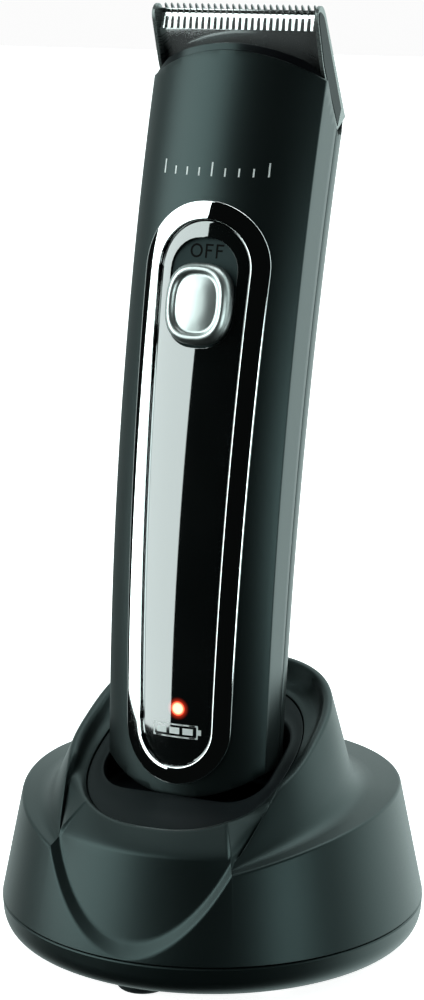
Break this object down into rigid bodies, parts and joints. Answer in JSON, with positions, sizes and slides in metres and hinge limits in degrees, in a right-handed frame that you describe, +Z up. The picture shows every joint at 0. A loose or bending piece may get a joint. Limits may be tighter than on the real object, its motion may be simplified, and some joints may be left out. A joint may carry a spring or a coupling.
{
  "type": "body groomer",
  "caption": "Curved cordless body groomer with a steel comb blade, a slide switch and a window ring, standing in the cup of a round charging stand.",
  "frame": {"origin": "on the floor, under the middle of the round stand", "axes": "+Z up, -Y out of the front where the switch and window are, +X to the right of someone facing the back, symmetric about X = 0"},
  "size_m": [0.0938, 0.0938, 0.2035],
  "materials": {
    "stand_plastic": "moulded, fine grain, matt",
    "handle_plastic": "moulded, fine grain, matt",
    "liner_plastic": "moulded, smooth, matt",
    "inner_plastic": "moulded, smooth",
    "socket_plastic": "moulded, smooth",
    "rubber": "matt",
    "screw_steel": "zinc plated",
    "ballast_iron": "cast, raw",
    "gold_contact": "gold plated",
    "board": "solder resist",
    "chrome": "polished",
    "window_black": "clear lens over black, polished",
    "switch_floor": "satin",
    "gloss_black": "polished",
    "satin_silver": "satin metallised",
    "led_orange": "clear, lit",
    "light_pipe": "translucent",
    "battery_wrap": "shrink sleeve",
    "motor_steel": "plated can",
    "white_acetal": "smooth",
    "blade_steel": "ground and polished",
    "cutter_steel": "ground"
  },
  "bodies": {
    "stand": {"stand_shell": "stand_plastic", "stand_base_plate": "stand_plastic", "rubber_feet": "rubber", "base_screws": "screw_steel", "ballast_weight": "ballast_iron", "cup_liner": "liner_plastic", "stand_contacts": "gold_contact", "stand_circuit_board": "board", "dc_socket": "socket_plastic", "dc_socket_pin": "gold_contact"},
    "handle": {"front_shell": "handle_plastic", "back_shell": "handle_plastic", "chrome_ring": "chrome", "window_lens": "window_black", "switch_bed": "switch_floor", "head_insert": "gloss_black", "motor_mount": "inner_plastic", "motor": "motor_steel", "circuit_board": "board", "indicator_led": "led_orange", "light_pipe": "light_pipe", "battery_cell": "battery_wrap", "battery_terminals": "gold_contact", "battery_cradle": "inner_plastic", "charge_contacts": "gold_contact", "shell_screws": "screw_steel"},
    "switch": {"power_switch": "satin_silver", "switch_carriage": "inner_plastic"},
    "eccentric": {"motor_shaft": "screw_steel", "eccentric_cam": "white_acetal"},
    "blade_head": {"comb_blade": "blade_steel", "head_carrier": "inner_plastic", "cutter_spring": "screw_steel", "carrier_screws": "screw_steel"},
    "cutter": {"cutter_blade": "cutter_steel", "cutter_yoke": "white_acetal"}
  },
  "joints": [
    {"name": "handle_lift", "type": "slide", "parent": "stand", "child": "handle", "axis": [0, 0.0872, 0.9962], "range_m": [0, 0.09]},
    {"name": "switch_slide", "type": "slide", "parent": "handle", "child": "switch", "axis": [0, 0.2326, 0.9726], "range_m": [0, 0.005]},
    {"name": "motor_spin", "type": "hinge", "parent": "handle", "child": "eccentric", "pos_m": [0, 0.01108, 0.147], "axis": [0, 0.2588, 0.9659], "continuous": true},
    {"name": "head_tilt", "type": "hinge", "parent": "handle", "child": "blade_head", "pos_m": [0, 0.02372, 0.17983], "axis": [-1, 0, 0], "range_deg": [0, 30]},
    {"name": "cutter_slide", "type": "slide", "parent": "blade_head", "child": "cutter", "axis": [1, 0, 0], "range_m": [-0.0009, 0.0009]}
  ]
}
